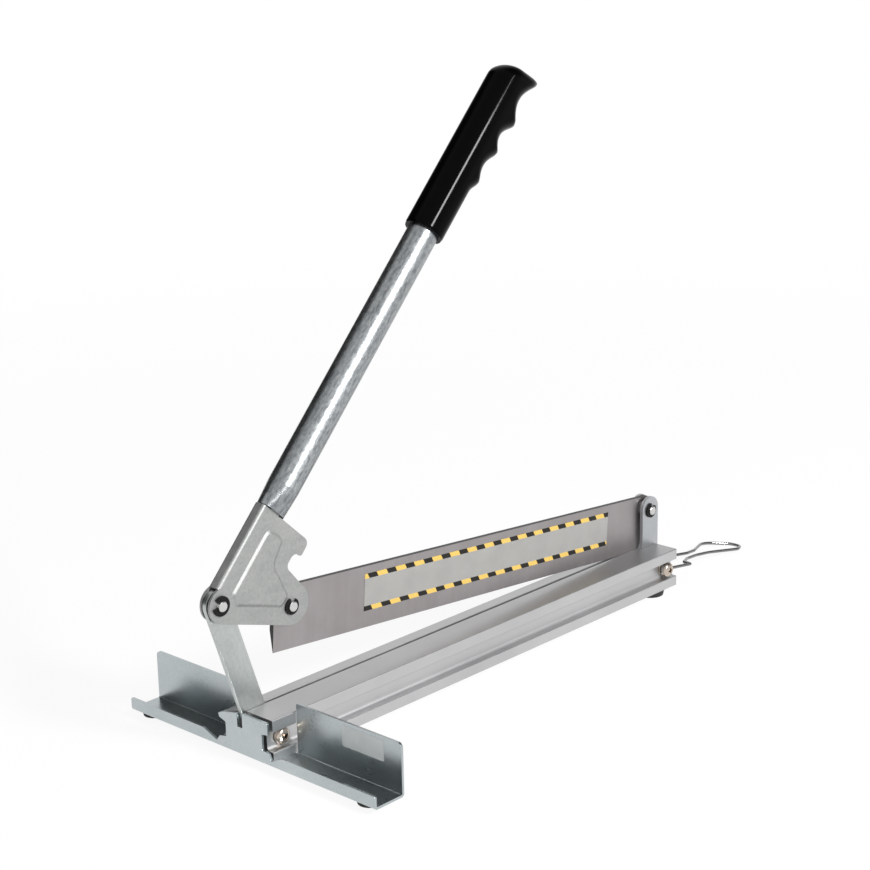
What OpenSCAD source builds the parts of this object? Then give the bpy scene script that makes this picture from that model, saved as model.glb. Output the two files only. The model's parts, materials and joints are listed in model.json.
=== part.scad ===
// Guillotine cutter for vinyl floor tiles: an aluminium bed with a fence at its near end, a hinged
// blade, and a long handle whose bracket pulls the blade down against a link to the bed.
// Lengths are millimetres and angles are degrees. The working frame has x = 0 at the fence's wall,
// y = 0 at the middle of the blade and z = 0 at the top of the bed.
// +X runs from the fence to the hinge, +Y to the left of the cut and +Z up.

/* [Bed] */
// How far the bed reaches in front of the fence's wall
bed_front = 18.8; // [15:0.1:19]
// How far the bed reaches behind the hinge pin
bed_tail = 7.6; // [7:0.1:20]
// Width of the bed to the right of the blade's middle
bed_right = 23.1; // [21.5:0.1:30]
// Width of the bed to the left of the blade's middle
bed_left = 18.2; // [17:0.1:26]
// Height of the bed
bed_h = 26.3; // [25.5:0.1:32]
// Height of the top flange at each side
flange_h = 7.3; // [5.5:0.1:7.6]
// Height of the groove along each side
groove_h = 12.1; // [11.5:0.1:13.5]
// Depth of the groove along each side
groove_d = 5; // [4:0.1:6]
// Drop of the sloping top at the left edge
left_drop = 5.2; // [2:0.1:5.5]
// Depth of the slot that the blade enters
slot_d = 10; // [8:0.5:14]
// Gap between the blade and the shearing edge
shear_gap = 0.15; // [0.05:0.01:0.3]
// Gap to the left of the blade in the slot
slot_gap = 0.7; // [0.3:0.1:1.5]
// Wall left round the hollow inside the bed
bed_wall = 3; // [2:0.1:4]

/* [Fence] */
// Thickness of the fence's sheet
sheet_t = 1.5; // [1:0.1:1.8]
// Depth of the channel, front to wall
fence_depth = 22.7; // [22.2:0.1:24]
// Reach of the fence to the right of the blade
fence_right = 106.2; // [80:1:140]
// Reach of the fence to the left of the blade
fence_left = 97.5; // [80:1:140]
// Height of the wall above the bed
wall_rise = 5.2; // [3:0.1:12]
// Height of the front flange
front_h = 8; // [6.5:0.1:9]
// Radius of the sheet's bends
bend_r = 2; // [1.9:0.1:3]
// Gap between the fence's wall and the bed
fence_gap = 1.3; // [0.8:0.1:3]
// Width of the slot in the end plate
end_slot_w = 4.2; // [3.6:0.1:6]

/* [Feet] */
// Diameter of the rubber feet under the fence
front_foot_d = 16; // [10:0.5:18]
// Diameter of the rubber feet under the bed
rear_foot_d = 20; // [12:0.5:20]
// Height of the rubber feet
foot_h = 3.8; // [3:0.1:8]

/* [Blade] */
// Thickness of the blade
blade_t = 3.2; // [2.5:0.1:4]
// Width of the blade from back to edge
blade_h = 37.9; // [34:0.1:44]
// Distance from the hinge down to the cutting edge
edge_drop = 28.8; // [28.2:0.1:29.5]
// Distance from the lever pin to the blade's free end
blade_nose = 10.9; // [9:0.1:12]
// Distance of the lever pin below the hinge pin's level, square to the blade
lever_drop = 2.33; // [1:0.01:4]
// Width of the ground bevel
bevel_w = 13; // [6:0.5:16]

/* [Hinge] */
// Place of the hinge pin along the bed
hinge_x = 350; // [250:1:450]
// Height of the hinge pin above the bed
hinge_z = 26.3; // [26:0.1:27]
// Thickness of each hinge post
post_t = 2.4; // [2:0.1:3]
// Width of each hinge post
post_w = 17; // [16:0.1:18]
// Gap between the blade and the right post
right_spacer_t = 2; // [1:0.1:2.6]
// Gap between the blade and the left post
left_spacer_t = 0.5; // [0.4:0.1:2.6]
// Place of the cross screws above the bed's underside
screw_rise = 13.4; // [13:0.1:14]
// How far the rear cross screw lies in front of the hinge pin
rear_screw_front = 1.3; // [0:0.1:2.5]

/* [Handle] */
// Angle of the open handle
handle_angle = 47; // [40:0.5:60]
// Place of the blade's lever pin along the bed
lever_x = 16.4; // [15:0.1:18]
// Height of the blade's lever pin above the bed
lever_z = 53.5; // [52.5:0.1:54.5]
// Distance from lever pin to link pin, along the tube
link_pin_back = 24.4; // [23:0.1:26]
// Distance from lever pin to link pin, square to the tube
link_pin_out = 48.4; // [46.5:0.1:50]
// Thickness of the bracket's sheet
bracket_t = 1.5; // [1.2:0.1:2]
// Gap between the bracket's two plates
bracket_gap = 5.2; // [5:0.1:6.5]
// Height of the raised panel on each plate
panel_h = 1; // [0.9:0.05:1.2]
// Outer diameter of the handle tube
tube_d = 19.05; // [18.2:0.05:20.5]
// Wall thickness of the handle tube
tube_wall = 1.6; // [1:0.1:1.8]
// Distance from lever pin to the tube's axis
tube_out = 46.4; // [45.5:0.1:47]
// Start of the tube, counted from the lever pin
tube_start = 36.5; // [36.2:0.1:40]
// Length of the handle tube
tube_len = 296; // [250:1:340]
// Length of the grip
grip_len = 121; // [110:1:140]
// Length of the grip beyond the tube's end
grip_cap = 13.6; // [12:0.1:20]
// Thickness of the grip over the tube
grip_wall = 2.7; // [2:0.1:3.5]
// Distance from one finger groove to the next
finger_pitch = 22; // [20:0.5:24]

/* [Link] */
// Place of the link's lower pivot in front of the fence's wall
link_foot_x = 8.8; // [8:0.1:9.5]
// Thickness of the link
link_t = 3; // [2.4:0.1:3.2]
// Width of the link
link_w = 16.7; // [15:0.1:17]
// Play all round the link's lower pivot
link_play = 3.1; // [2.8:0.1:3.4]

/* [Pins and screws] */
// Diameter of the pivot pins
pin_d = 6; // [5:0.1:6.5]
// Running clearance round the pins
fit = 0.05; // [0.02:0.01:0.1]
// Thickness of the retaining clips
clip_t = 1; // [0.8:0.1:1.4]
// Outer diameter of the retaining clips
clip_d = 10; // [9:0.1:12]
// Diameter of the cross screws
screw_d = 5; // [4:0.1:5.5]
// Diameter of the screws' heads and washers
head_d = 10; // [9:0.1:10.6]
// Thickness of the washers
washer_t = 1; // [0.8:0.1:1.4]

/* [Wire bail] */
// Diameter of the wire
wire_d = 2.2; // [1.8:0.1:2.8]
// Reach of the bail from its pivot
bail_reach = 111; // [105:1:130]

/* [Hidden] */
eps = 0.01;
face_gap = 0.05;
round_fn = 48;
grip_sides = 28;

// Heights and widths of the bed
screw_z = screw_rise - bed_h;
neck_right = bed_right - groove_d;
neck_left = bed_left - groove_d - 1;
slot_right = blade_t / 2 + shear_gap;
slot_left = blade_t / 2 + slot_gap;

// Places along the bed, and the open blade, which runs from the hinge pin past the lever pin
bed_rear = hinge_x + bed_tail;
rear_screw_x = hinge_x - rear_screw_front;
lever_reach = norm([hinge_x - lever_x, lever_z - hinge_z]);
blade_angle = atan2(lever_z - hinge_z, hinge_x - lever_x) + asin(lever_drop / lever_reach);
blade_reach = sqrt(lever_reach * lever_reach - lever_drop * lever_drop) + blade_nose;

// Posts, measured from the middle of the blade
post_in_right = blade_t / 2 + right_spacer_t;
post_out_right = post_in_right + post_t;
post_in_left = blade_t / 2 + left_spacer_t;
post_out_left = post_in_left + post_t;
post_mid_x = hinge_x + 0.2;
post_top_z = hinge_z + 1;
post_foot_z = screw_z - 7.7;

// Fence, measured from the underside of the bed
fence_bottom = -bed_h;
floor_z = -bed_h - foot_h;
wall_top = wall_rise;
link_pocket_end = 3;

// Places of the pins of the handle, in the working frame
lever_y0 = bracket_gap / 2;
bracket_out = bracket_gap / 2 + bracket_t;
link_foot_z = screw_z;
link_pin_x = lever_x - link_pin_back * cos(handle_angle) - link_pin_out * sin(handle_angle);
link_pin_z = lever_z - link_pin_back * sin(handle_angle) + link_pin_out * cos(handle_angle);
link_run = norm([link_pin_x + link_foot_x, link_pin_z - link_foot_z]);
link_angle = atan2(link_pin_z - link_foot_z, link_pin_x + link_foot_x);
grip_start = tube_start + tube_len - grip_len + grip_cap;
grip_end = grip_len - 1.2;
first_finger = grip_len * 0.38;

// Wire bail: each corner is [reach from the pivot, place to the left, radius of the bend]
bail_tilt = asin((foot_h + screw_rise - wire_d / 2 - 0.1) / bail_reach);
eye_r = screw_d / 2 + 0.1 + wire_d / 2;
bail_leg_right = neck_right + washer_t + 0.1 + wire_d / 2;
bail_leg_left = neck_left + washer_t + 0.1 + wire_d / 2;
bail_route = [[eye_r, -bail_leg_right, 0], [30.5, -bail_leg_right, 1.6], [29.5, -14.5, 1.8], [41, -9.1, 8],
    [56, -6.2, 30], [72, -5.8, 30], [bail_reach - 9, -10.6, 9], [bail_reach, -6.5, 5],
    [bail_reach, 2, 6], [bail_reach - 18, 15.2, 14], [67, 3.4, 12], [55, 1, 8], [42, 1.4, 8],
    [24, bail_leg_left, 10], [eye_r, bail_leg_left, 0]];

// The part's own frame stands on the feet, under the middle of its box
box_front = link_w / 2 - link_pin_x;
box_rear = rear_screw_x + bail_reach * cos(bail_tilt) + wire_d / 2;
mid_x = (box_rear - box_front) / 2;
mid_y = (fence_left - fence_right) / 2;

module in_frame() {
    translate([-mid_x, -mid_y, -floor_z])
        children();
}

// Rounding of outlines: each corner is [x, y, radius]
function unit(v) = v / norm(v);
function turn(a, b) = (b - a + 540) % 360 - 180;
function fillet(a, b, c, r, steps) =
    let (u = unit(a - b), v = unit(c - b), half = acos(u * v) / 2)
    let (reach = r / tan(half), centre = b + unit(u + v) * r / sin(half))
    let (p = b + u * reach - centre, q = b + v * reach - centre)
    let (start = atan2(p[1], p[0]), sweep = turn(start, atan2(q[1], q[0])))
    [for (i = [0:steps]) centre + r * [cos(start + sweep * i / steps), sin(start + sweep * i / steps)]];
function corner(list, i, steps) =
    let (n = len(list), b = list[i], a = list[(i + n - 1) % n], c = list[(i + 1) % n])
    b[2] == 0 ? [[b[0], b[1]]] : fillet([a[0], a[1]], [b[0], b[1]], [c[0], c[1]], b[2], steps);
function rounded(list, steps = 5) = [for (i = [0:len(list) - 1]) each corner(list, i, steps)];

// Turns a flat outline drawn in x and z upright, and gives it a thickness to the right of y
module upright(y, t) {
    translate([0, y, 0]) rotate([90, 0, 0]) linear_extrude(t) children();
}

// Closed skin over rings of as many points each, which run clockwise when seen from ahead.
// Rings with an inward corner name a heart in x and y, from which each whole end is seen.
module skin(rings, heart = []) {
    n = len(rings[0]);
    last = len(rings) - 1;
    full = n * (last + 1);
    walls = [for (i = [0:last - 1], k = [0:n - 1], half = [0, 1])
        let (a = i * n + k, b = i * n + (k + 1) % n)
        half == 0 ? [a, b, b + n] : [a, b + n, a + n]];
    flat = [[for (k = [0:n - 1]) n - 1 - k], [for (k = [0:n - 1]) last * n + k]];
    fans = [for (k = [0:n - 1]) let (next = (k + 1) % n)
        each [[full, next, k], [full + 1, last * n + k, last * n + next]]];
    hearts = heart == [] ? [] : [for (i = [0, last]) [heart[0], heart[1], rings[i][0][2]]];
    polyhedron(concat([for (ring = rings) each ring], hearts),
        concat(walls, heart == [] ? flat : fans), convexity = 8);
}

// A cylinder across the cut, from y = left down to y = right
module crosswise(x, z, left, right, r) {
    translate([x, left, z]) rotate([90, 0, 0]) cylinder(h = left - right, r = r, $fn = round_fn);
}

// The bracket's own plane: x along the tube, y square to it and away from the blade
module in_lever() {
    translate([lever_x, 0, lever_z]) rotate([90, 0, 0]) rotate([0, 0, handle_angle]) children();
}

module bed_section() {
    groove_top = -flange_h;
    groove_low = -flange_h - groove_h;
    polygon(rounded([[-bed_right, 0, 0.6], [-bed_right, groove_top, 0.5], [-neck_right, groove_top, 2.5],
        [-neck_right, groove_low, 2.5], [-bed_right, groove_low, 0.5], [-bed_right, -bed_h, 0.6],
        [bed_left, -bed_h, 0.6], [bed_left, groove_low, 0.5], [neck_left, groove_low, 2],
        [neck_left, groove_top - 1, 2], [bed_left, groove_top, 0.5], [bed_left, -left_drop, 0.8],
        [slot_left + 0.4, -1, 0], [slot_left, -1.4, 0], [slot_left, -slot_d, 0], [-slot_right, -slot_d, 0],
        [-slot_right, 0, 0]], 4));
}

module bed_hollow() {
    left = -post_out_right - bed_wall / 2;
    right = -neck_right + bed_wall - 0.5;
    polygon(rounded([[left, -bed_wall, 1.5], [right, -bed_wall, 1.5], [right, -bed_h + bed_wall, 1.5],
        [left, -bed_h + bed_wall, 1.5]], 3));
}

module base_extrusion() {
    length = bed_front + bed_rear;
    color("gainsboro") in_frame() difference() {
        translate([-bed_front, 0, 0]) rotate([90, 0, 90]) linear_extrude(length) difference() {
            bed_section();
            bed_hollow();
        }
        // Recess for the fence's floor, and the pocket that the link swings in
        translate([-bed_front - 1, -bed_right - 1, -bed_h - 1])
            cube([bed_front + 1 + face_gap, bed_right + bed_left + 2, 1 + sheet_t + face_gap]);
        translate([-bed_front - 1, -slot_right, screw_z - link_w / 2 - 2.6])
            cube([bed_front + 1 + link_pocket_end, slot_right + slot_left, bed_h]);
        // Pocket for the hinge posts, open at the rear end
        translate([post_mid_x - post_w / 2 - 0.3, -post_out_right - face_gap, post_foot_z - 0.3])
            cube([post_w + 20, post_out_right + post_out_left + 2 * face_gap, bed_h]);
        // Cross holes for the two screws, with their seats
        for (x = [-link_foot_x, rear_screw_x]) {
            crosswise(x, screw_z, bed_left + 1, -bed_right - 1, screw_d / 2 + 0.1);
            crosswise(x, screw_z, -neck_right + 1, -bed_right - 1, head_d / 2 + 0.4);
            crosswise(x, screw_z, bed_left + 1, neck_left - 1, head_d / 2 + 0.4);
        }
        // Holes for the two screws that hold the fence
        for (y = [-bed_right / 2, bed_left / 2])
            translate([-bed_front / 2, y, -bed_h - 1]) cylinder(h = 9, r = 2.05, $fn = round_fn);
    }
}

// Front flange of the fence, whose middle rises as an end plate with the bed's own outline
module front_plate() {
    low = fence_bottom + bend_r;
    top = fence_bottom + front_h;
    slot = end_slot_w / 2;
    tooth = -flange_h - groove_h;
    polygon(rounded([[fence_left, low, 0], [fence_left, top, 1], [bed_left + 14, top, 9],
        [bed_left + 2.5, low + 1.4, 1.5], [bed_left - 0.4, tooth + 0.2, 0.5], [neck_left, tooth + 1.4, 0.5],
        [neck_left, -flange_h - 1.8, 1], [bed_left - 0.6, -flange_h - 0.2, 0.6], [bed_left, -left_drop, 0.7],
        [bed_left - 3.6, 1.7 - left_drop, 0.6], [slot, -1, 0.3], [slot, 0.8 - slot_d, 0],
        [-slot, 0.8 - slot_d, 0], [-slot, -0.3, 0.3], [-bed_right, -0.3, 0.8],
        [-bed_right, -flange_h - 0.1, 0.5], [-neck_right, -flange_h - 0.9, 0.5], [-neck_right, tooth + 1.8, 0.5],
        [-bed_right, tooth + 1, 0.5], [-bed_right - 2, low + 1.6, 1], [-bed_right - 11, top, 8],
        [-fence_right, top, 1], [-fence_right, low, 0]]));
}

// Cross-section of the fence's floor between its bends, with an open rear side in the middle
module fence_floor_section(with_rear) {
    low = fence_bottom + bend_r;
    inner = bend_r - sheet_t;
    front = [[-fence_depth + sheet_t, fence_bottom + sheet_t, inner], [-fence_depth + sheet_t, low, 0],
        [-fence_depth, low, 0], [-fence_depth, fence_bottom, bend_r]];
    rear = with_rear
        ? [[0, fence_bottom, bend_r], [0, low, 0], [-sheet_t, low, 0], [-sheet_t, fence_bottom + sheet_t, inner]]
        : [[-bend_r - 0.3, fence_bottom, 0], [-bend_r - 0.3, fence_bottom + sheet_t, 0]];
    polygon(rounded(concat(front, rear)));
}

// One wing of the fence's wall, from its inner end to its outer end
module fence_wing(inner, outer) {
    low = fence_bottom + bend_r;
    translate([-sheet_t, 0, 0]) rotate([90, 0, 90]) linear_extrude(sheet_t)
        polygon(rounded([[inner, low, 0], [inner, wall_top, 1], [outer, wall_top, 3], [outer, low, 0]]));
}

module fence_channel() {
    right_end = -bed_right - fence_gap;
    left_end = bed_left + fence_gap;
    color("lightsteelblue") in_frame() difference() {
        union() {
            translate([-fence_depth, 0, 0]) rotate([90, 0, 90]) linear_extrude(sheet_t) front_plate();
            upright(fence_left, fence_left - left_end) fence_floor_section(true);
            upright(left_end, left_end - right_end) fence_floor_section(false);
            upright(right_end, right_end + fence_right) fence_floor_section(true);
            fence_wing(left_end, fence_left);
            fence_wing(right_end, -fence_right);
        }
        for (y = [-bed_right / 2, bed_left / 2])
            translate([-bed_front / 2, y, fence_bottom - 1]) cylinder(h = 4, r = 2.05, $fn = round_fn);
    }
}

module fence_screws() {
    color("silver") in_frame() for (y = [-bed_right / 2, bed_left / 2])
        translate([-bed_front / 2, y, fence_bottom]) {
            translate([0, 0, -2.2]) cylinder(h = 2.2 - face_gap, r1 = 3, r2 = 3.8, $fn = 32);
            translate([0, 0, -0.5]) cylinder(h = 7, r = 2, $fn = 32);
        }
}

module foot(x, y, d) {
    translate([x, y, floor_z]) cylinder(h = foot_h, r1 = d / 2 - 0.8, r2 = d / 2, $fn = round_fn);
}

module front_feet() {
    color("black") in_frame() {
        foot(-fence_depth / 2, fence_left - front_foot_d / 2, front_foot_d);
        foot(-fence_depth / 2, front_foot_d / 2 + 6.7 - fence_right, front_foot_d);
    }
}

module rear_feet() {
    color("black") in_frame() for (y = [-1, 1])
        foot(bed_rear - 16.6, (bed_left - bed_right) / 2 + y * (rear_foot_d / 2 + 0.6), rear_foot_d);
}

module hinge_post(y) {
    difference() {
        upright(y, post_t) {
            translate([post_mid_x, post_top_z]) circle(r = post_w / 2, $fn = 64);
            translate([post_mid_x - post_w / 2, post_foot_z]) square([post_w, post_top_z - post_foot_z]);
        }
        crosswise(hinge_x, hinge_z, y + 1, y - post_t - 1, pin_d / 2 + fit);
        crosswise(rear_screw_x, screw_z, y + 1, y - post_t - 1, screw_d / 2 + 0.1);
    }
}

module hinge_post_right() {
    color("lightgray") in_frame() hinge_post(-post_in_right);
}

module hinge_post_left() {
    color("lightgray") in_frame() hinge_post(post_out_left);
}

// Ring across the cut, from y = left down to y = right
module ring(x, z, left, right, outer, inner) {
    difference() {
        crosswise(x, z, left, right, outer);
        crosswise(x, z, left + 1, right - 1, inner);
    }
}

module post_spacer() {
    color("silver") in_frame() ring(rear_screw_x, screw_z, post_in_left - face_gap, face_gap - post_in_right,
        4.5, screw_d / 2 + 0.1);
}

// Pivot pin with a groove near each end for its clip, between the two outer faces that it joins
module pivot_pin(x, z, left, right) {
    stub = 1.3;
    neck_r = pin_d / 2 - 0.5;
    crosswise(x, z, left + 0.2, -right - 0.2, pin_d / 2);
    crosswise(x, z, left + clip_t + 1, -right - clip_t - 1, neck_r);
    for (side = [[left + clip_t + 0.3, 1], [-right - clip_t - 0.3, -1]])
        translate([x, side[0], z]) rotate([-90 * side[1], 0, 0]) {
            cylinder(h = stub - 0.4, r = pin_d / 2, $fn = round_fn);
            translate([0, 0, stub - 0.4]) cylinder(h = 0.4, r1 = pin_d / 2, r2 = pin_d / 2 - 0.4, $fn = round_fn);
        }
}

// Open retaining clip in the groove of a pin, with its mouth turned to an angle
module clip(x, z, left, mouth, outer) {
    difference() {
        ring(x, z, left, left - clip_t + 0.1, outer, pin_d / 2 - 0.45);
        translate([x, left + 1, z]) rotate([90, 0, 0]) rotate([0, 0, mouth]) linear_extrude(clip_t + 2)
            polygon([[0, 0], [outer * 1.2, -outer * 0.62], [outer * 1.2, outer * 0.62]]);
    }
}

module pin_clips(x, z, left, right, mouth, outer) {
    clip(x, z, left + clip_t + 0.25, mouth, outer);
    clip(x, z, -right - 0.25, mouth, outer);
}

module pin_washers(x, z, left, right, half, outer) {
    ring(x, z, left - face_gap, half + face_gap, outer, pin_d / 2 + fit);
    ring(x, z, -half - face_gap, face_gap - right, outer, pin_d / 2 + fit);
}

module hinge_pin() {
    color("silver") in_frame() pivot_pin(hinge_x, hinge_z, post_out_left, post_out_right);
}

module hinge_pin_clips() {
    color("dimgray") in_frame() pin_clips(hinge_x, hinge_z, post_out_left, post_out_right, 60, clip_d / 2);
}

module hinge_spacers() {
    color("silver") in_frame() pin_washers(hinge_x, hinge_z, post_in_left, post_in_right, blade_t / 2, 6);
}

// Cross screw with a domed head to the right; its shank ends to the left
module cross_screw(x, z, head_y, end_y) {
    head_h = 3.4;
    translate([x, head_y, z]) rotate([90, 0, 0]) rotate_extrude($fn = round_fn)
        polygon(concat([[0, 0]], rounded([[head_d / 2, 0, 0.2], [head_d / 2, head_h, 2.2], [0, head_h, 0]])));
    crosswise(x, z, end_y, head_y - 1, screw_d / 2);
}

module screw_washers(x) {
    ring(x, screw_z, neck_left + face_gap + washer_t, neck_left + face_gap, head_d / 2, screw_d / 2 + 0.1);
    ring(x, screw_z, -neck_right - face_gap, -neck_right - face_gap - washer_t, head_d / 2, screw_d / 2 + 0.1);
}

module screw_nut(x, right_face) {
    difference() {
        translate([x, right_face + 3.6, screw_z]) rotate([90, 0, 0])
            cylinder(h = 3.6, r = 0.9 * screw_d, $fn = 6);
        crosswise(x, screw_z, right_face + 5, right_face - 1, screw_d / 2 + 0.05);
    }
}

module post_screw() {
    color("silver") in_frame() cross_screw(rear_screw_x, screw_z,
        -bail_leg_right - wire_d / 2 - 0.1, bail_leg_left + wire_d / 2 + 5);
}

module post_screw_washers() {
    color("silver") in_frame() screw_washers(rear_screw_x);
}

module post_screw_nut() {
    color("silver") in_frame() screw_nut(rear_screw_x, bail_leg_left + wire_d / 2 + 0.1);
}

module link_screw() {
    color("silver") in_frame() cross_screw(-link_foot_x, screw_z,
        -neck_right - washer_t - 2 * face_gap, neck_left + washer_t + 5);
}

module link_screw_washers() {
    color("silver") in_frame() screw_washers(-link_foot_x);
}

module link_screw_nut() {
    color("silver") in_frame() screw_nut(-link_foot_x, neck_left + washer_t + 2 * face_gap);
}

// The blade's own plane has its origin at the hinge and its cutting edge level
module blade() {
    crown = blade_h - edge_drop;
    color("rosybrown") in_frame() difference() {
        translate([hinge_x, 0, hinge_z]) rotate([0, blade_angle, 0]) difference() {
            upright(blade_t / 2, blade_t) {
                circle(r = crown, $fn = 64);
                polygon(rounded([[-blade_reach, -edge_drop, 0], [-blade_reach, crown, 0.8], [0, crown, 0],
                    [crown, 0, 0], [-6.5, -edge_drop, 0]]));
            }
            translate([-blade_reach - 1, 0, -edge_drop]) rotate([90, 0, 90]) linear_extrude(blade_reach + 20)
                polygon([[0.2 - blade_t / 2, 0], [blade_t / 2, bevel_w], [blade_t, bevel_w], [blade_t, -1],
                    [0.2 - blade_t / 2, -1]]);
        }
        crosswise(hinge_x, hinge_z, blade_t, -blade_t, pin_d / 2 + fit);
        crosswise(lever_x, lever_z, blade_t, -blade_t, pin_d / 2 + fit);
    }
}

// Outline of one plate of the bracket, with the hook notch on the side that faces the blade
module bracket_outline(spine) {
    link_lobe = [1.3 - link_pin_back, link_pin_out - 2.2];
    lever_lobe = [1.3, -0.5];
    hull() {
        translate(link_lobe) circle(r = 10.6, $fn = 48);
        translate(lever_lobe) circle(r = 12.2, $fn = 48);
    }
    polygon(rounded([[7 - link_pin_back, spine, 0], [tube_start - 0.5, spine, 0], [tube_start - 0.5, 11.9, 4],
        [26, 11.9, 1.5], [26, 18.2, 4.2], [15.8, 18.2, 3.5], [13.4, -1, 0], lever_lobe_corner(lever_lobe),
        lever_lobe_corner(link_lobe)], 6));
}

function lever_lobe_corner(p) = [p[0], p[1], 0];

// Raised panel that stiffens each plate, pressed out with a soft slope all round
function inset(list, d) =
    let (n = len(list))
    [for (i = [0:n - 1])
        let (b = list[i], a = list[(i + n - 1) % n] - b, c = list[(i + 1) % n] - b)
        let (u = unit([a[0], a[1]]), v = unit([c[0], c[1]]), out = cross(u, v) > 0 ? 1 : -1)
        let (step = out * unit(u + v) * d / sin(acos(u * v) / 2))
        [b[0] + step[0], b[1] + step[1], b[2] - out * d]];

module bracket_panel() {
    outline = [[26, spine_line() - 11.4, 4], [28, 31, 5], [12, 28, 6], [3.6, 6.4, 2.6], [-4, 6.6, 2.6],
        [-19.2, 38, 3], [-15.5, spine_line() - 11.4, 2.4]];
    slope = [[-0.5, -0.4], [-0.5, 0.02], [0, 0.14], [0.5, 0.5], [1.1, 0.86], [1.8, panel_h]];
    skin([for (step = slope) [for (p = rounded(inset(outline, step[0]), 5)) [p[0], p[1], step[1]]]],
        heart = [0, 36]);
}

function spine_line() = tube_out + tube_d / 2 + 0.4;

module handle_bracket() {
    spine = spine_line();
    web_r = bracket_t + 0.5;
    in_r = 0.5;
    tongue = tube_d / 2 + 0.3 - tube_wall - bracket_out - face_gap;
    color("silver") in_frame() difference() {
        in_lever() {
            for (side = [0, 1]) mirror([0, 0, side]) {
                translate([0, 0, bracket_gap / 2]) linear_extrude(bracket_t) bracket_outline(spine - web_r);
                translate([0, 0, bracket_out]) bracket_panel();
                // Tongue that the tube's flattened end grips
                translate([tube_start - 3, tube_out - tongue, bracket_gap / 2])
                    cube([26, 2 * tongue, bracket_t]);
            }
            translate([6.5 - link_pin_back, 0, 0]) rotate([90, 0, 90])
                linear_extrude(tube_start - 7 + link_pin_back)
                polygon(rounded([[spine - web_r - 1, bracket_out, 0], [spine, bracket_out, web_r],
                    [spine, -bracket_out, web_r], [spine - web_r - 1, -bracket_out, 0],
                    [spine - web_r - 1, -bracket_gap / 2, 0], [spine - bracket_t, -bracket_gap / 2, in_r],
                    [spine - bracket_t, bracket_gap / 2, in_r], [spine - web_r - 1, bracket_gap / 2, 0]]));
        }
        crosswise(lever_x, lever_z, bracket_out + 2, -bracket_out - 2, pin_d / 2 + fit);
        crosswise(link_pin_x, link_pin_z, bracket_out + 2, -bracket_out - 2, pin_d / 2 + fit);
    }
}

// Flattened lower end of the tube, which closes on the bracket's tongue; inset makes its inside
module tube_pinch(inset) {
    flat = bracket_out + face_gap + tube_wall - inset;
    wide = tube_d / 2 + 0.3 - inset;
    hull() {
        for (side = [-1, 1]) translate([0, side * (wide - flat), 0])
            rotate([0, 90, 0]) cylinder(h = 4, r = flat, $fn = 32);
        translate([15, 0, 0]) rotate([0, 90, 0]) cylinder(h = 0.5, r = tube_d / 2 - inset - 0.05, $fn = 32);
    }
}

module handle_tube() {
    color("silver") in_frame() in_lever() translate([tube_start, tube_out, 0]) difference() {
        union() {
            tube_pinch(0);
            translate([15, 0, 0]) rotate([0, 90, 0]) cylinder(h = tube_len - 15, r = tube_d / 2, $fn = 64);
        }
        intersection() {
            tube_pinch(tube_wall);
            translate([-1, -50, -50]) cube([16.3, 100, 100]);
        }
        translate([-1, -tube_d / 2 + tube_wall, -bracket_out - face_gap])
            cube([4, tube_d - 2 * tube_wall, 2 * bracket_out + 2 * face_gap]);
        translate([15, 0, 0]) rotate([0, 90, 0]) cylinder(h = tube_len, r = tube_d / 2 - tube_wall, $fn = 64);
    }
}

// Grip, at a distance u from its lower end: finger ridges that grow towards a flare at its top
function fade(u, from, to) = sqrt(max(0.02, 1 - pow(max(0, u - from) / (to - from), 2)));
function ease(v) = let (w = min(1, max(0, v))) w * w * (3 - 2 * w);
function ridge_phase(u) =
    let (third = first_finger + 2 * finger_pitch)
    u < third ? (u - first_finger) / finger_pitch : 2 + (u - third) / (grip_end - third);
function finger_reach(u) =
    let (p = ridge_phase(u), peak = 3.6 + 1.75 * p + 2.1 * max(0, p - 2))
    let (s = sin(180 * pow(p - floor(p), 0.8)))
    p < 0 ? 3.6 * pow(ease(1 + p * 2), 1.5) : 0.3 + (peak - 0.3) * (1.16 - sqrt(s * s + 0.02) / 0.87);

// One ring of the grip: round at the back, drawn out at the front, and tilted near the top
function grip_ring(u) =
    let (r = tube_d / 2 + grip_wall - 0.5 * fade(u, -0.01, 1.5), top = grip_end + 0.6)
    let (back = r * fade(u, grip_end - 10, top), side = r * fade(u, grip_end - 7, top))
    let (front = fade(u, grip_end - 3, top), lean = 0.24 * ease((u - grip_end) / 33 + 1))
    [for (k = [0:grip_sides - 1])
        let (a = -360 * (k + 0.5) / grip_sides, c = cos(a))
        let (out = c > 0 ? c * back : front * (c * r - finger_reach(u)))
        [u - lean * out, out, side * sin(a)]];

module handle_grip() {
    first = first_finger - 12;
    tops = [for (d = [2.2, 1.4, 0.8, 0.3, -0.1, -0.4]) grip_end - d];
    places = concat([0, 0.4, 1, 1.6, first / 3, first * 2 / 3], [for (u = [first:1.9:grip_end - 2.6]) u], tops);
    color("black") in_frame() in_lever() translate([grip_start, tube_out, 0]) difference() {
        skin([for (u = places) grip_ring(u)]);
        rotate([0, 90, 0]) translate([0, 0, -1])
            cylinder(h = grip_len - grip_cap + 1.3, r = tube_d / 2 + face_gap, $fn = 64);
    }
}

module lever_pin() {
    color("silver") in_frame() pivot_pin(lever_x, lever_z, bracket_out, bracket_out);
}

module lever_pin_clips() {
    color("dimgray") in_frame() pin_clips(lever_x, lever_z, bracket_out, bracket_out, 75, clip_d / 2);
}

module lever_pin_washers() {
    color("silver") in_frame() pin_washers(lever_x, lever_z, lever_y0, lever_y0, blade_t / 2, 5.5);
}

module link_pin() {
    color("silver") in_frame() pivot_pin(link_pin_x, link_pin_z, bracket_out, bracket_out);
}

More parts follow.
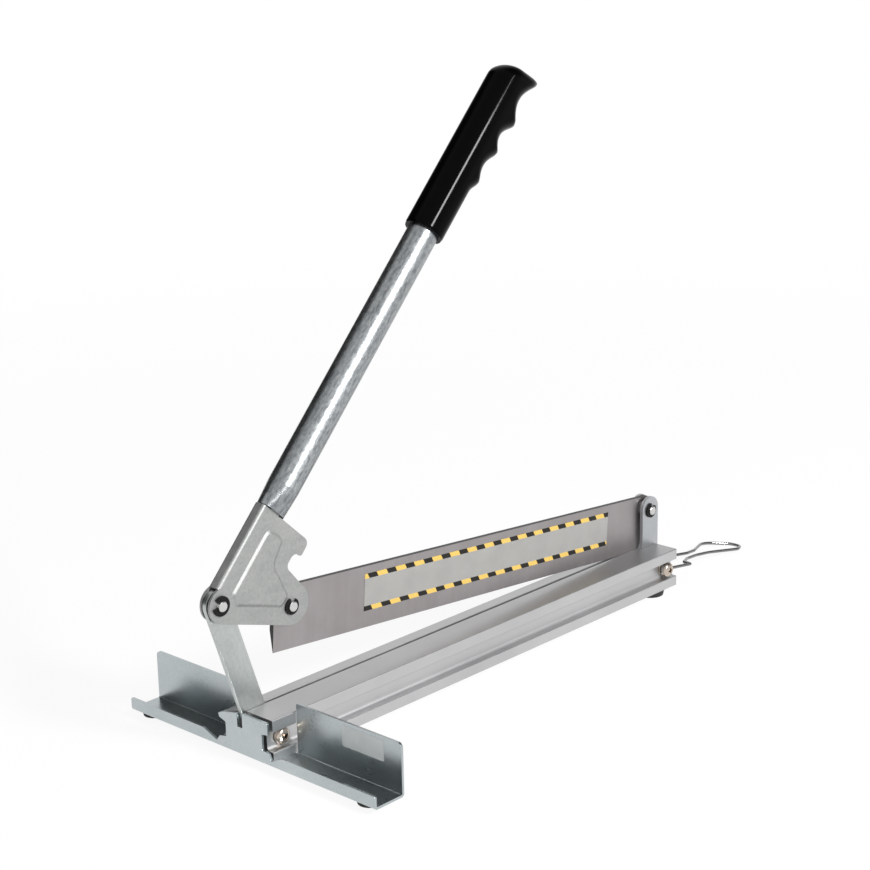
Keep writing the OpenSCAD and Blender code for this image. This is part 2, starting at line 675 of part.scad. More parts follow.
module link_pin_clips() {
    color("dimgray") in_frame() pin_clips(link_pin_x, link_pin_z, bracket_out, bracket_out, 160, clip_d / 2 + 0.8);
}

module link_pin_washers() {
    color("silver") in_frame() pin_washers(link_pin_x, link_pin_z, lever_y0, lever_y0, link_t / 2, 5.5);
}

module link_bar() {
    color("silver") in_frame() difference() {
        translate([-link_foot_x, 0, link_foot_z]) rotate([0, -link_angle, 0]) upright(link_t / 2, link_t) {
            circle(r = link_w / 2, $fn = 64);
            translate([link_run, 0]) circle(r = link_w / 2, $fn = 64);
            translate([0, -link_w / 2]) square([link_run, link_w]);
        }
        crosswise(-link_foot_x, link_foot_z, link_t, -link_t, screw_d / 2 + link_play);
        crosswise(link_pin_x, link_pin_z, link_t, -link_t, pin_d / 2 + fit);
    }
}

// Rings of a wire along a flat route: each is square to the route's mean direction there
function wire_rings(route, r, sides) =
    let (last = len(route) - 1)
    [for (i = [0:last])
        let (d = unit(route[min(i + 1, last)] - route[max(i - 1, 0)]), side = [-d[1], d[0]])
        [for (k = [0:sides - 1]) let (a = -360 * (k + 0.5) / sides)
            [route[i][0] + r * cos(a) * side[0], route[i][1] + r * cos(a) * side[1], r * sin(a)]]];

module wire_bail() {
    color("silver") in_frame() translate([rear_screw_x, 0, screw_z]) {
        for (y = [-bail_leg_right, bail_leg_left]) translate([0, y, 0]) rotate([90, 0, 0])
            rotate_extrude($fn = round_fn) translate([eye_r, 0]) circle(r = wire_d / 2, $fn = 24);
        rotate([0, bail_tilt, 0]) skin(wire_rings(rounded(bail_route, 4), wire_d / 2, 10));
    }
}

base_extrusion();
fence_channel();
fence_screws();
front_feet();
rear_feet();
hinge_post_right();
hinge_post_left();
post_spacer();
hinge_pin();
hinge_pin_clips();
hinge_spacers();
post_screw();
post_screw_washers();
post_screw_nut();
link_screw();
link_screw_washers();
link_screw_nut();
blade();
handle_bracket();
handle_tube();
handle_grip();
lever_pin();
lever_pin_clips();
lever_pin_washers();
link_pin();
link_pin_clips();
link_pin_washers();
link_bar();
wire_bail();
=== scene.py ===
# %% [markdown]
# # A cutter for vinyl floor tiles
#
# The real tool is a small guillotine. An aluminium bed carries a folded steel fence at its near
# end and a blade hinged at its far end. A long handle works a pressed bracket, and the bracket
# pulls the blade down against a flat link. This lesson takes the solid model as a fixed frame and
# gives each piece the finish of the real one: zinc, brushed aluminium, ground steel and black vinyl.

# %% Load the model
import json
import math

import bmesh
import bpy
from mathutils import Matrix, Vector

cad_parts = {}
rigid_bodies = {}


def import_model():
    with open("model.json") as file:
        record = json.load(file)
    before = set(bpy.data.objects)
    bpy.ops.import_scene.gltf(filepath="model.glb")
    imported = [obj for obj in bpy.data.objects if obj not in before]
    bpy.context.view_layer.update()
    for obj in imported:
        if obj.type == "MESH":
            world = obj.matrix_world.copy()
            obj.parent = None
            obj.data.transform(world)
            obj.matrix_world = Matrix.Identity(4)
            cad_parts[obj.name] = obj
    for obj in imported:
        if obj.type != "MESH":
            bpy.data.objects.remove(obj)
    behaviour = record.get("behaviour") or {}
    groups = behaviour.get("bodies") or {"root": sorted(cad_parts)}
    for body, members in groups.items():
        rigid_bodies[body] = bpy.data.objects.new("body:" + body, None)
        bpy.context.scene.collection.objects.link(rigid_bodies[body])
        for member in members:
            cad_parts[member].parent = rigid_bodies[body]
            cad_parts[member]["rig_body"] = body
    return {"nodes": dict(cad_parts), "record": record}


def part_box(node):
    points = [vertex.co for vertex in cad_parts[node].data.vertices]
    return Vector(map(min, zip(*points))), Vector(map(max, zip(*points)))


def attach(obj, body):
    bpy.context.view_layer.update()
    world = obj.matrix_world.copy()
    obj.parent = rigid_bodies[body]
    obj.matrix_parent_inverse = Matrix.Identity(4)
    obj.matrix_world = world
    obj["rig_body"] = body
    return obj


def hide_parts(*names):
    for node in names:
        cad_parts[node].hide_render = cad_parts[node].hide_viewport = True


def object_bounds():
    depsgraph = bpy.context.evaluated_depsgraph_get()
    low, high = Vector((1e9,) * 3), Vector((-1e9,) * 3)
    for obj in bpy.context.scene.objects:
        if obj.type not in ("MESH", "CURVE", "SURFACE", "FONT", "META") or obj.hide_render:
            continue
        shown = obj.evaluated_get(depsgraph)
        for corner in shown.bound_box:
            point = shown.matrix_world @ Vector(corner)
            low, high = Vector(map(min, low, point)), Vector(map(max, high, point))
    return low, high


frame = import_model()
cad_low, cad_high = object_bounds()
MM = 0.001
print("the model is", [round(v / MM) for v in cad_high - cad_low], "mm")

# %% [markdown]
# ## Where things are
#
# Measures on this tool are easy to take from the blade's middle, the fence's wall and the top of
# the bed, so every place below is written from there, in millimetres. The hinge pin tells where
# that corner lies in the model.

# %% A place on the cutter
HINGE = (350.0, 26.3)  # from the fence's wall, and up from the bed's top
BLADE_ASIDE = 4.35  # from the model's middle to the blade's
HANDLE_ANGLE = math.radians(47)
BLADE_ANGLE = math.radians(5.06)

pin_low, pin_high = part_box("hinge_pin")
pin_middle = (pin_low + pin_high) / 2
model_middle = (cad_low + cad_high) / 2
CORNER = Vector((pin_middle.x - HINGE[0] * MM, model_middle.y + BLADE_ASIDE * MM,
                 pin_middle.z - HINGE[1] * MM))


def place(x, y, z):
    return CORNER + Vector((x, y, z)) * MM


print("the corner of the measures is at", [round(v / MM, 2) for v in CORNER])

# %% [markdown]
# ## The camera
#
# The photograph was taken from the near right corner, a little above the handle's bracket, with a
# long lens. The camera goes first, so that each piece can be judged in the same view.

# %% Camera
YAW, PITCH, ROLL = (math.radians(a) for a in (43.25, 16.10, 1.16))
CAMERA_AT = (-716.55, -808.33, 465.83)
LENS, SENSOR = 84.36, 36

turn = Matrix.Rotation(YAW - math.pi / 2, 4, "Z") @ Matrix.Rotation(math.pi / 2 - PITCH, 4, "X")
turn = turn @ Matrix.Rotation(-ROLL, 4, "Z")
camera_data = bpy.data.cameras.new("camera")
camera_data.lens = LENS
camera_data.sensor_width = SENSOR
camera = bpy.data.objects.new("camera", camera_data)
camera.matrix_world = Matrix.Translation(place(*CAMERA_AT)) @ turn
bpy.context.scene.collection.objects.link(camera)
bpy.context.scene.camera = camera
print("the camera stands", round(camera.location.length, 2), "m away")

# %% [markdown]
# ## Shader sums
#
# A finish is mostly arithmetic on patterns. One small class wraps a socket and turns Python's
# own operators into Math nodes, so a formula reads as a formula. A second class builds any
# node from its type, its settings and its inputs. A finish is a material with such nodes.


# %% A value that grows Math nodes
class Value:
    def __init__(self, nodes, socket):
        self.nodes, self.socket = nodes, socket

    def math(self, operation, *others, clamp=False):
        settings = {"operation": operation, "use_clamp": clamp}
        return self.nodes.node("ShaderNodeMath", settings, dict(enumerate((self, *others))))

    def __add__(self, other):
        return self.math("ADD", other)

    def __sub__(self, other):
        return self.math("SUBTRACT", other)

    def __rsub__(self, other):
        return (self * -1) + other

    def __mul__(self, other):
        return self.math("MULTIPLY", other)

    def __truediv__(self, other):
        return self.math("DIVIDE", other)

    __radd__, __rmul__ = __add__, __mul__

    def above(self, edge, softness):
        """0 below the edge and 1 above it, with a soft step between."""
        return ((self - (edge - softness / 2)) * (1 / softness)).math("ADD", 0, clamp=True)


# %% A node tree
class Nodes:
    def __init__(self, tree):
        self.tree = tree

    def plug(self, socket, value):
        if isinstance(value, Value):
            self.tree.links.new(value.socket, socket)
        else:
            socket.default_value = value

    def node(self, kind, settings=None, inputs=None, output=0):
        made = self.tree.nodes.new(kind)
        for key, value in (settings or {}).items():
            setattr(made, key, value)
        for key, value in (inputs or {}).items():
            self.plug(made.inputs[key], value)
        return Value(self, made.outputs[output])

    def split(self, vector):
        """The three numbers of a vector."""
        first = self.node("ShaderNodeSeparateXYZ", {}, {0: vector})
        return [Value(self, out) for out in first.socket.node.outputs]

    def mix(self, mask, low, high):
        """A colour between low and high."""
        colours = [v if isinstance(v, Value) else (*v, 1) for v in (low, high)]
        made = self.tree.nodes.new("ShaderNodeMix")
        made.data_type = "RGBA"
        self.plug(made.inputs["Factor"], mask)
        for socket, colour in zip([i for i in made.inputs if i.type == "RGBA"], colours):
            self.plug(socket, colour)
        return Value(self, [o for o in made.outputs if o.type == "RGBA"][0])


# %% A finish: one material
class Finish(Nodes):
    def __init__(self, name, **surface):
        self.material = bpy.data.materials.new(name)
        self.material.use_nodes = True
        super().__init__(self.material.node_tree)
        self.shader = self.tree.nodes["Principled BSDF"]
        for socket, value in surface.items():
            self.set(socket.replace("_", " "), value)
        print("finish:", name)

    def set(self, name, value):
        if isinstance(value, tuple) and len(value) == 3:
            value = (*value, 1)
        self.plug(self.shader.inputs[name], value)

    def place(self, stretch=(1, 1, 1), turned=(0, 0, 0)):
        """Object coordinates, turned and then stretched, in metres."""
        at = self.node("ShaderNodeTexCoord", output="Object")
        at = self.node("ShaderNodeMapping", {}, {"Vector": at, "Rotation": turned})
        return self.node("ShaderNodeMapping", {}, {"Vector": at, "Scale": stretch})

    def noise(self, at, scale, detail=3.0, roughness=0.55):
        inputs = {"Vector": at, "Scale": scale, "Detail": detail, "Roughness": roughness}
        return self.node("ShaderNodeTexNoise", {}, inputs)

    def bump(self, height, distance):
        """Raises the surface by distance millimetres where height is 1."""
        inputs = {"Height": height, "Distance": distance * MM}
        self.set("Normal", self.node("ShaderNodeBump", {}, inputs))


# %% [markdown]
# ## Galvanised sheet
#
# The fence is folded from galvanised sheet. Its zinc has a cool, slightly green cast and faint
# clouds where the coat froze at different speeds. The clouds change the gloss more than the colour,
# so they feed both. A voronoi pattern would give the big flowers of heavy zinc, but this sheet has
# only a fine grain, so noise at two scales does it. A third noise, squeezed flat, gives the faint
# lines of the rolling mill.

# %% Fence finish
fence_zinc = Finish("galvanised sheet", Metallic=1.0)
at = fence_zinc.place()
clouds = fence_zinc.noise(at, 38, 4)
grain = fence_zinc.noise(at, 420, 2)
rolled = fence_zinc.noise(fence_zinc.place((30, 30, 900)), 1, 3)
tone = clouds * 0.7 + grain * 0.3
zinc = fence_zinc.mix(tone.above(0.5, 0.4), (0.42, 0.465, 0.48), (0.53, 0.57, 0.58))
fence_zinc.set("Base Color", zinc)
fence_zinc.set("Roughness", 0.19 + clouds * 0.14 + grain * 0.06)
fence_zinc.bump(grain * 0.6 + rolled * 0.4, 0.007)

# %% [markdown]
# ## Zinc-plated steel
#
# The bracket, the link and the posts are pressed from thicker sheet and then plated. Barrel
# plating leaves them paler and more matt than the fence, with a warm grey cast and small scuffs.


# %% Plated finish
LINK_ANGLE = math.radians(18)


def plated(name, dark, light, rough, stretch, turned=(0, 0, 0)):
    finish = Finish(name, Metallic=1.0)
    at = finish.place()
    clouds = finish.noise(at, 55, 4)
    grain = finish.noise(at, 600, 2)
    streaks = finish.noise(finish.place(stretch, turned), 1, 3)
    scuffs = finish.noise(at, 160, 6, 0.7).above(0.66, 0.06)
    tone = clouds * 0.3 + streaks * 0.3 + grain * 0.4
    finish.set("Base Color", finish.mix(tone.above(0.5, 0.3), dark, light))
    finish.set("Roughness", rough + clouds * 0.12 + streaks * 0.1 + scuffs * 0.08 - 0.1)
    finish.bump(grain * 0.5 + streaks * 0.5, 0.014)
    return finish


bracket_zinc = plated("plated sheet", dark=(0.33, 0.34, 0.335), light=(0.43, 0.435, 0.425), rough=0.57,
                      stretch=(60, 60, 260))
post_zinc = plated("plated post", dark=(0.42, 0.435, 0.45), light=(0.50, 0.515, 0.53), rough=0.36,
                   stretch=(500, 60, 60))
link_zinc = plated("plated bar", dark=(0.44, 0.465, 0.455), light=(0.55, 0.575, 0.56), rough=0.34,
                   stretch=(700, 60, 60), turned=(0, LINK_ANGLE, 0))

# %% [markdown]
# ## The tube's zinc
#
# The tube is hot-dip zinc, which freezes to small mottles of light and dark. The tube is also
# drawn, so its marks run along it: the pattern is turned with the handle and stretched a little
# along the tube's own length.

# %% Tube finish
tube_zinc = Finish("mottled zinc", Metallic=1.0)
as_handle = (0, HANDLE_ANGLE, 0)
mottles = tube_zinc.noise(tube_zinc.place((300, 640, 640), as_handle), 1, 4, 0.65)
drawn = tube_zinc.noise(tube_zinc.place((12, 700, 700), as_handle), 1, 2)
clouds = tube_zinc.noise(tube_zinc.place(), 45, 3)
tone = mottles * 0.6 + drawn * 0.25 + clouds * 0.15
zinc = tube_zinc.mix(tone.above(0.5, 0.26), (0.18, 0.195, 0.21), (0.44, 0.455, 0.46))
tube_zinc.set("Base Color", zinc)
tube_zinc.set("Roughness", 0.17 + mottles * 0.2 + drawn * 0.06)
tube_zinc.bump(mottles * 0.5 + drawn * 0.5, 0.006)

# %% [markdown]
# ## Extruded aluminium
#
# The bed is a length of extrusion. The die leaves fine straight lines along it, which make its
# shine a soft satin band. Noise squeezed to long threads gives the lines.

# %% Bed finish
bed_aluminium = Finish("satin extrusion", Metallic=1.0)
threads = bed_aluminium.noise(bed_aluminium.place((6, 900, 900)), 1, 3)
clouds = bed_aluminium.noise(bed_aluminium.place(), 24, 3)
aluminium = bed_aluminium.mix(clouds.above(0.5, 0.6), (0.50, 0.50, 0.505), (0.57, 0.57, 0.575))
bed_aluminium.set("Base Color", aluminium)
bed_aluminium.set("Roughness", 0.34 + threads * 0.14 + clouds * 0.06)
bed_aluminium.bump(threads, 0.012)

# %% [markdown]
# ## Ground steel
#
# The blade is ground tool steel. It is darker and warmer than the zinc, with fine lines across its
# width. Only its two sides are ground: the back and the ends keep the black scale of hardening,
# and those narrow dark faces draw the blade's outline. So the blade has two finishes.

# %% Blade finish
blade_steel = Finish("ground steel", Metallic=1.0)
lines = blade_steel.noise(blade_steel.place((260, 260, 18), (0, -BLADE_ANGLE, 0)), 1, 4)
clouds = blade_steel.noise(blade_steel.place(), 30, 4)
tone = clouds * 0.7 + lines * 0.3
steel = blade_steel.mix(tone.above(0.5, 0.4), (0.315, 0.29, 0.292), (0.385, 0.36, 0.362))
blade_steel.set("Base Color", steel)
blade_steel.set("Roughness", 0.30 + lines * 0.10 + clouds * 0.08)
blade_steel.bump(lines, 0.008)

scale_black = Finish("hardening scale", Metallic=0.4)
crust = scale_black.noise(scale_black.place(), 260, 4)
scale_black.set("Base Color", scale_black.mix(crust, (0.018, 0.018, 0.02), (0.07, 0.068, 0.066)))
scale_black.set("Roughness", 0.42 + crust * 0.2)
scale_black.bump(crust, 0.02)

# %% [markdown]
# ## Small hardware
#
# Pins are bright turned steel, screws are nickel plated and warmer, the retaining clips are black
# phosphate, and the bail is bright wire. Each is small in the picture, so one noise, for its colour
# and its gloss, is enough.


# %% Hardware finishes
def small_metal(name, colour, rough, metallic=1.0, marks_scale=500):
    finish = Finish(name, Metallic=metallic)
    marks = finish.noise(finish.place(), marks_scale, 3)
    finish.set("Base Color", finish.mix(marks, tuple(c * 0.88 for c in colour), colour))
    finish.set("Roughness", rough + marks * 0.14 - 0.05)
    finish.bump(marks, 0.006)
    return finish


pin_steel = small_metal("turned steel", (0.66, 0.66, 0.65), 0.26)
nickel = small_metal("nickel plate", (0.58, 0.50, 0.43), 0.10)
phosphate = small_metal("black phosphate", (0.007, 0.007, 0.007), 0.45, metallic=0.0)
phosphate.set("Specular IOR Level", 0.12)
bright_wire = small_metal("bright wire", (0.25, 0.25, 0.25), 0.13, marks_scale=300)

# %% [markdown]
# ## Vinyl and rubber
#
# The grip is dipped vinyl: deep black, wet-looking, with a skin that is not quite flat. Its colour
# does almost nothing, and all that shows is the sharp line of a lamp, so it is a smooth surface
# with a low specular level. The feet are plain rubber, which is never quite black and never shines.

# %% Grip and foot finishes
grip_vinyl = Finish("dipped vinyl")
skin = grip_vinyl.noise(grip_vinyl.place(), 90, 2)
grip_vinyl.set("Specular IOR Level", 0.045)
vinyl = grip_vinyl.mix(skin, (0.0005, 0.0005, 0.0006), (0.001, 0.001, 0.0012))
grip_vinyl.set("Base Color", vinyl)
grip_vinyl.set("Roughness", 0.07 + skin * 0.05)
grip_vinyl.bump(skin, 0.02)

foot_rubber = Finish("rubber")
dust = foot_rubber.noise(foot_rubber.place(), 350, 4)
foot_rubber.set("Specular IOR Level", 0.3)
rubber = foot_rubber.mix(dust, (0.012, 0.012, 0.012), (0.03, 0.029, 0.028))
foot_rubber.set("Base Color", rubber)
foot_rubber.set("Roughness", 0.62 + dust * 0.2)
foot_rubber.bump(dust, 0.03)

# %% [markdown]
# ## From loose triangles to finished pieces
#
# The model's meshes are loose triangles. A copy is merged, its flat faces are joined again, and
# the edges that should look crisp are marked sharp. Real sheet and bar have no razor edges, so a
# small bevel on those edges catches the light. Where two solids of one piece touch, as the blade's
# round end and its plate do, the wall between them is inside the piece and comes out. The copy then
# stands for the model's own piece.

# %% A piece and what it stands for
SLOT = {row["node"]: row["material_slot"] for row in frame["record"]["subparts"]}


def rest_on(piece, body, slot, finish, *nodes):
    """Gives a piece its finish and its body, and hides the nodes that it stands for, where it has any.
    """
    piece.data.materials.clear()
    piece.data.materials.append(finish.material)
    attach(piece, body)
    if nodes:
        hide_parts(*nodes)
    return piece


def make(name, shape):
    mesh = bpy.data.meshes.new(name)
    shape.to_mesh(mesh)
    shape.free()
    piece = bpy.data.objects.new(name, mesh)
    bpy.context.scene.collection.objects.link(piece)
    return piece


# %% Crisp edges
SHARP = math.radians(28)


def crisp(shape, angle=SHARP):
    """Smooth faces, with the edges that are turned by more than an angle marked sharp."""
    for face in shape.faces:
        face.smooth = True
    for edge in shape.edges:
        edge.smooth = len(edge.link_faces) == 2 and edge.calc_face_angle(0) < angle


# %% A merged copy of a node
SAME_PLACE = 0.0005 * MM
SAME_PLANE = math.radians(0.4)
SQUARE = 0.1  # the cosine below which two faces stand square to each other


def inner_walls(shape):
    """The faces that stand square to all their neighbours on an edge of three faces or more."""
    walls = set()
    for edge in shape.edges:
        if len(edge.link_faces) > 2:
            for face in edge.link_faces:
                others = [f for f in edge.link_faces if f is not face]
                if all(abs(face.normal.dot(other.normal)) < SQUARE for other in others):
                    walls.add(face)
    return list(walls)


def merged(node):
    shape = bmesh.new()
    shape.from_mesh(frame["nodes"][node].data)
    bmesh.ops.remove_doubles(shape, verts=shape.verts, dist=SAME_PLACE)
    shape.normal_update()
    walls = inner_walls(shape)
    if walls:
        bmesh.ops.delete(shape, geom=walls, context="FACES")
        print(node, "lost", len(walls), "faces inside it")
    bmesh.ops.dissolve_limit(shape, angle_limit=SAME_PLANE, verts=shape.verts, edges=shape.edges)
    return shape


# %% A dressed copy of a node
def dressed(node, finish, bevel, angle):
    """Stands for a node, in its finish, with a bevel in millimetres on each edge past an angle."""
    shape = merged(node)
    if bevel:
        edges = [e for e in shape.edges if len(e.link_faces) == 2 and e.calc_face_angle(0) > angle]
        bmesh.ops.bevel(shape, geom=edges, offset=bevel * MM, affect="EDGES", segments=2, profile=0.5,
                        material=-1, clamp_overlap=True)
        bmesh.ops.dissolve_degenerate(shape, dist=SAME_PLACE, edges=shape.edges)
    crisp(shape, angle)
    piece = make(node + "_finish", shape)
    piece.modifiers.new("flat faces stay flat", "WEIGHTED_NORMAL").keep_sharp = True
    return rest_on(piece, frame["nodes"][node]["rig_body"], SLOT[node], finish, node)


# %% Dress every node
FINISHES = {
    fence_zinc: ["fence_channel"],
    bracket_zinc: ["handle_bracket"],
    post_zinc: ["hinge_post_right", "hinge_post_left"],
    link_zinc: ["link_bar"],
    tube_zinc: ["handle_tube"],
    bed_aluminium: ["base_extrusion"],
    blade_steel: ["blade"],
    pin_steel: ["hinge_pin", "lever_pin", "link_pin", "hinge_spacers", "lever_pin_washers",
                "link_pin_washers"],
    nickel: ["fence_screws", "post_spacer", "post_screw_washers", "post_screw_nut",
             "link_screw_washers", "link_screw_nut"],
    phosphate: ["hinge_pin_clips", "lever_pin_clips", "link_pin_clips"],
    bright_wire: ["wire_bail"],
    grip_vinyl: ["handle_grip"],
    foot_rubber: ["front_feet", "rear_feet"],
}
BEVELS = {"fence_channel": 0.2, "handle_bracket": 0.2, "hinge_post_right": 0.25,
          "hinge_post_left": 0.25, "link_bar": 0.3}
ROUNDED = math.radians(60)
ANGLES = {"handle_grip": ROUNDED, "wire_bail": ROUNDED}

dressings = {}
for finish, nodes in FINISHES.items():
    for node in nodes:
        dressings[node] = dressed(node, finish, BEVELS.get(node, 0), ANGLES.get(node, SHARP))
print("dressed", len(dressings), "pieces")

# %% The blade's dark back and ends
GROUND_SIDE = 0.5  # a face that looks sideways by more than this is ground

blade = dressings["blade"]
blade.data.materials.append(scale_black.material)
for face in blade.data.polygons:
    if abs(face.normal.y) < GROUND_SIDE:
        face.material_index = 1
print("dark faces on the blade:", sum(face.material_index for face in blade.data.polygons))

# %% [markdown]
# ## Cross screws
#
# Each cross screw has a domed head with a cross recess. The dome is a profile spun round the
# screw's axis. A cross-shaped cutter, made of two bars that narrow downwards, is then taken out
# of the head with a Boolean modifier. The real one is struck with a punch of the same shape.

# %% The cutter of the cross
HEAD_HIGH = 3.4
RECESS = (3.0, 0.8, 2.0)  # half length of a bar, half width, depth
RECESS_TAPER = (0.45, 0.6, 1)  # what is left of them at the bottom


def cross_cutter():
    shape = bmesh.new()
    for quarter in range(2):
        bar = bmesh.ops.create_cube(shape, size=2)["verts"]
        bmesh.ops.scale(shape, vec=RECESS, verts=bar)
        bmesh.ops.scale(shape, vec=RECESS_TAPER, verts=[v for v in bar if v.co.z < 0])
        bmesh.ops.rotate(shape, matrix=Matrix.Rotation(quarter * math.pi / 2, 3, "Z"), verts=bar)
    bmesh.ops.translate(shape, vec=(0, 0, HEAD_HIGH), verts=shape.verts)
    return shape


# %% The screw's turned shape
HEAD_RADIUS, SHANK_RADIUS, SHANK_CHAMFER = 5.0, 2.5, 0.3
# each point of the dome: its share of the head's radius, and its height
DOME = ((1, 0), (1, 1.1), (0.97, 1.6), (0.86, 2.3), (0.66, 2.9), (0.38, 3.298), (0, HEAD_HIGH))


def screw_shape(length):
    """A screw along z in millimetres, its head's seat at z = 0 and its shank below."""
    shape = bmesh.new()
    shank = [(0, -length), (SHANK_RADIUS - SHANK_CHAMFER, -length),
             (SHANK_RADIUS, SHANK_CHAMFER - length), (SHANK_RADIUS, 0)]
    head = [(HEAD_RADIUS * share, height) for share, height in DOME]
    points = [shape.verts.new((radius, 0, z)) for radius, z in shank + head]
    edges = [shape.edges.new(pair) for pair in zip(points, points[1:])]
    bmesh.ops.spin(shape, geom=points + edges, cent=(0, 0, 0), axis=(0, 0, 1), angle=math.tau, steps=40,
                   use_merge=True)
    bmesh.ops.remove_doubles(shape, verts=shape.verts, dist=0.001)
    bmesh.ops.recalc_face_normals(shape, faces=shape.faces)
    return shape


# %% The recess, cut out of the head
def with_recess(screw, cutter):
    """A shape of the screw without the cutter, both of which are used up."""
    cut = screw.modifiers.new("recess", "BOOLEAN")
    cut.object = cutter
    cut.operation = "DIFFERENCE"
    cut.solver = "EXACT"
    cut.use_self = True
    bpy.context.view_layer.update()
    shape = bmesh.new()
    shape.from_mesh(screw.evaluated_get(bpy.context.evaluated_depsgraph_get()).to_mesh())
    bpy.data.objects.remove(cutter)
    bpy.data.objects.remove(screw)
    return shape


# %% Each screw in its place
def cross_screw(node, turned):
    low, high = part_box(node)
    middle = (low + high) / 2
    seat = Vector((middle.x, low.y + HEAD_HIGH * MM, middle.z))
    length = (high.y - low.y) / MM - HEAD_HIGH
    shape = with_recess(make("screw", screw_shape(length)), make("cutter", cross_cutter()))
    bmesh.ops.scale(shape, vec=(MM, MM, MM), verts=shape.verts)
    bmesh.ops.rotate(shape, matrix=Matrix.Rotation(turned, 3, "Z"), verts=shape.verts)
    bmesh.ops.rotate(shape, matrix=Matrix.Rotation(math.pi / 2, 3, "X"), verts=shape.verts)
    bmesh.ops.translate(shape, vec=seat, verts=shape.verts)
    crisp(shape)
    piece = make(node + "_finish", shape)
    return rest_on(piece, frame["nodes"][node]["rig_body"], SLOT[node], nickel, node)


for node, turned in (("link_screw", 0.5), ("post_screw", 0.2)):
    piece = cross_screw(node, turned)
    print(piece.name, len(piece.data.polygons), "faces")

# %% [markdown]
# ## The strip on the blade
#
# A bright strip is stuck on the blade's right side. Its long edges carry slanted yellow and black
# dashes, the usual sign for a moving edge, and between them it is plain foil. A thin plate takes
# it, with a map of its own in millimetres so that the dashes follow the strip. A dash is a part
# of a saw-tooth wave along the strip, and adding a share of the height slants it.

# %% Strip finish
STRIP_LONG, STRIP_HIGH = 231.5, 22.9
DASH_PERIOD, DASH_HIGH, DASH_SLANT = 16.0, 3.0, 0.6
YELLOW_FROM, YELLOW_TO = 0.46, 0.985
EDGE_SOFT, DASH_SOFT = 0.2, 0.02

strip_foil = Finish("striped foil")
along, high, _ = strip_foil.split(strip_foil.node("ShaderNodeUVMap", {"uv_map": "strip"}))
middle = high.above(DASH_HIGH, EDGE_SOFT) - high.above(STRIP_HIGH - DASH_HIGH, EDGE_SOFT)
phase = ((along + high * DASH_SLANT) / DASH_PERIOD).math("FRACT")
yellow = phase.above(YELLOW_FROM, DASH_SOFT) - phase.above(YELLOW_TO, DASH_SOFT)
dashes = strip_foil.mix(yellow, (0.015, 0.014, 0.012), (0.56, 0.385, 0.10))
haze = strip_foil.noise(strip_foil.place(), 60, 3)
foil = strip_foil.mix(haze, (0.27, 0.266, 0.258), (0.35, 0.346, 0.334))
strip_foil.set("Base Color", strip_foil.mix(middle, dashes, foil))
strip_foil.set("Metallic", middle * 0.35)
strip_foil.set("Roughness", 0.34 + haze * 0.1)
strip_foil.set("Specular IOR Level", 0.12)

# %% A place on the blade's side
STRIP_BACK = -1.61  # the strip's back, a hair off the blade's right side


def on_blade(along, up):
    """A place on the blade's right side, along the blade and up from its hinge."""
    cosine, sine = math.cos(BLADE_ANGLE), math.sin(BLADE_ANGLE)
    x = HINGE[0] + along * cosine + up * sine
    z = HINGE[1] - along * sine + up * cosine
    return place(x, STRIP_BACK, z)


# %% Strip plate
STRIP_START, STRIP_FOOT = -273.0, -18.6  # from the hinge
STRIP_THICK = 0.12

shape = bmesh.new()
strip_map = shape.loops.layers.uv.new("strip")
corners = [(0, 0), (STRIP_LONG, 0), (STRIP_LONG, STRIP_HIGH), (0, STRIP_HIGH)]
points = [shape.verts.new(on_blade(STRIP_START + u, STRIP_FOOT + w)) for u, w in corners]
for loop, corner in zip(shape.faces.new(points).loops, corners):
    loop[strip_map].uv = corner
bmesh.ops.subdivide_edges(shape, edges=shape.edges, cuts=7, use_grid_fill=True)
front = bmesh.ops.extrude_face_region(shape, geom=shape.faces[:])["geom"]
front_points = [part for part in front if isinstance(part, bmesh.types.BMVert)]
bmesh.ops.translate(shape, vec=Vector((0, -STRIP_THICK * MM, 0)), verts=front_points)
bmesh.ops.recalc_face_normals(shape, faces=shape.faces)
strip = rest_on(make("blade_strip", shape), "blade", "blade_steel", strip_foil)
print(strip.name, len(strip.data.polygons), "faces")

# %% [markdown]
# ## The label on the fence
#
# The fence's right wing carries a small foil label on its front: a plain pale rectangle with
# rounded corners. It could be paint in the fence's finish, but foil has an edge that can be felt,
# so it is a cube pressed flat, with a bevel on the four edges that run through its thickness.

# %% Label finish
label_foil = Finish("blank foil", Metallic=0.3)
haze = label_foil.noise(label_foil.place(), 120, 2)
label_foil.set("Base Color", label_foil.mix(haze, (0.50, 0.52, 0.52), (0.60, 0.62, 0.62)))
label_foil.set("Roughness", 0.42 + haze * 0.1)

# %% Label plate
LABEL_SIZE = (0.1, 32, 12.5)
LABEL_AT = (-1.56, -77, -3.2)
LABEL_CORNER = 1.2

shape = bmesh.new()
bmesh.ops.create_cube(shape, size=1)
bmesh.ops.scale(shape, vec=Vector(LABEL_SIZE) * MM, verts=shape.verts)
through = [e for e in shape.edges if e.verts[0].co.x * e.verts[1].co.x < 0]
bmesh.ops.bevel(shape, geom=through, offset=LABEL_CORNER * MM, affect="EDGES", segments=5, profile=0.5,
                material=-1)
bmesh.ops.translate(shape, vec=place(*LABEL_AT), verts=shape.verts)
crisp(shape)
label = rest_on(make("fence_label", shape), "base", "fence_sheet", label_foil)
print(label.name, len(label.data.polygons), "faces")

# %% [markdown]
# ## The floor
#
# The cutter stands on a pale table that is white in the picture but still takes its shadow. More
# light would burn out the metal, so the white is a glow that only the camera and mirrors see. Near
# the tool the paint under the glow keeps a tenth of the picture, and with it the shadow. Further out
# the glow takes over.

# %% Floor
FLOOR_GLOW = 0.9
FLOOR_HALF = 8  # metres
FAR_FLOOR = (0.9, 0.9)  # metres from the tool, and over how many the glow grows

